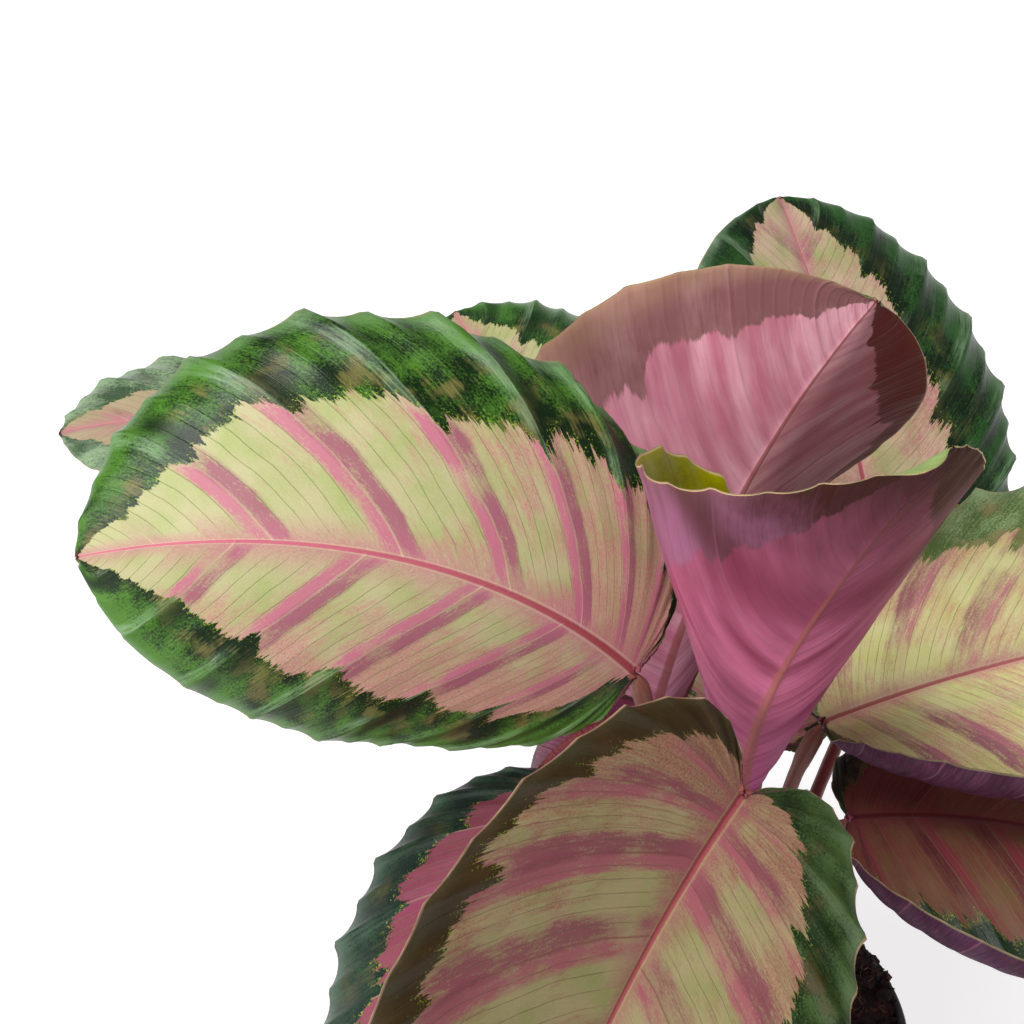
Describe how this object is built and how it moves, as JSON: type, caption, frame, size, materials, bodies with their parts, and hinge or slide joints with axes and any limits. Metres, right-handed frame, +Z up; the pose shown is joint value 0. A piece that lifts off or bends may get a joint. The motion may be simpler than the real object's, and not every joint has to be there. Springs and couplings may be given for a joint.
{
  "type": "potted calathea plant",
  "caption": "Potted calathea with large oval patterned leaves on slender stalks, one leaf furled, in a round nursery pot filled with soil.",
  "frame": {"origin": "centre of the pot's flat underside", "axes": "+Z up along the pot's axis, -Y towards the side the plant is looked at from, +X to that viewer's right"},
  "size_m": [0.366, 0.3887, 0.376],
  "materials": {
    "pot": "thin moulded plastic, dark grey-green, satin",
    "soil": "damp dark peat, crumbly and matt",
    "blade": "living leaf, satin above with green border and cream and pink centre, matt mauve beneath",
    "stalk": "living stalk, reddish brown with fine short down"
  },
  "bodies": {
    "root": {"pot": "pot", "soil": "soil", "blade_left": "blade", "stalk_left": "stalk", "blade_left_back": "blade", "stalk_left_back": "stalk", "blade_back_left": "blade", "stalk_back_left": "stalk", "blade_upright_back": "blade", "stalk_upright_back": "stalk", "blade_upright_front": "blade", "stalk_upright_front": "stalk", "blade_back_right": "blade", "stalk_back_right": "stalk", "blade_right": "blade", "stalk_right": "stalk", "blade_right_low": "blade", "stalk_right_low": "stalk", "blade_front": "blade", "stalk_front": "stalk", "blade_front_left": "blade", "stalk_front_left": "stalk", "blade_inner_left": "blade", "stalk_inner_left": "stalk", "blade_back_low": "blade", "stalk_back_low": "stalk", "blade_right_back_low": "blade", "stalk_right_back_low": "stalk"}
  },
  "joints": []
}
